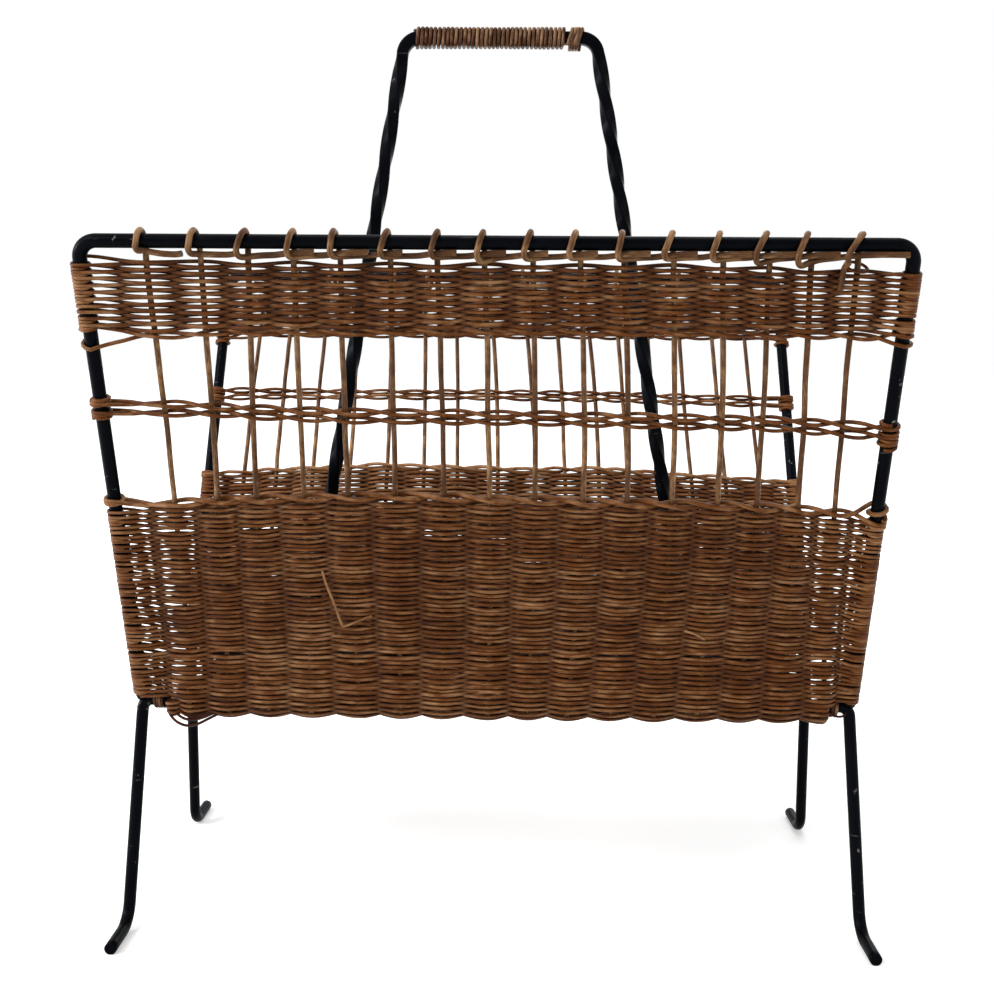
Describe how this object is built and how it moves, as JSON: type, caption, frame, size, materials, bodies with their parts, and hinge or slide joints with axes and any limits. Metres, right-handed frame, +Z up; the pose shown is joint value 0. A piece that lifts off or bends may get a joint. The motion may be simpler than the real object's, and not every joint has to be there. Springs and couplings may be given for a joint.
{
  "type": "magazine rack",
  "caption": "Free-standing magazine rack: black iron rod frame with a twisted bar handle and an open-ended V-shaped sling of woven cane.",
  "frame": {"origin": "on the floor, under the middle of the rack", "axes": "+Z up, +X towards the rack's right end as the picture shows it, -Y towards the viewer of the picture"},
  "size_m": [0.498, 0.3685, 0.6031],
  "materials": {
    "black_iron": "satin black paint, slightly worn",
    "stake_cane": "varnished cane",
    "woven_cane": "aged varnished cane",
    "winding_cane": "aged varnished cane"
  },
  "bodies": {
    "root": {"front_panel_rod": "black_iron", "rear_panel_rod": "black_iron", "front_leg_frame": "black_iron", "rear_leg_frame": "black_iron", "handle_bar": "black_iron", "left_floor_strut": "black_iron", "right_floor_strut": "black_iron", "stake_01": "stake_cane", "stake_02": "stake_cane", "stake_03": "stake_cane", "stake_04": "stake_cane", "stake_05": "stake_cane", "stake_06": "stake_cane", "stake_07": "stake_cane", "stake_08": "stake_cane", "stake_09": "stake_cane", "stake_10": "stake_cane", "stake_11": "stake_cane", "stake_12": "stake_cane", "stake_13": "stake_cane", "stake_14": "stake_cane", "stake_15": "stake_cane", "stake_16": "stake_cane", "front_upper_weave": "woven_cane", "front_upper_edge": "woven_cane", "front_mid_row_1": "woven_cane", "front_mid_row_2": "woven_cane", "front_lower_edge": "woven_cane", "front_lower_weave": "woven_cane", "rear_upper_weave": "woven_cane", "rear_upper_edge": "woven_cane", "rear_mid_row_1": "woven_cane", "rear_mid_row_2": "woven_cane", "rear_lower_edge": "woven_cane", "rear_lower_weave": "woven_cane", "floor_weave": "woven_cane", "crossbar_wrap_front_left": "winding_cane", "crossbar_wrap_front_right": "winding_cane", "crossbar_wrap_rear_left": "winding_cane", "crossbar_wrap_rear_right": "winding_cane", "grip_winding": "winding_cane", "grip_knot": "winding_cane"}
  },
  "joints": []
}
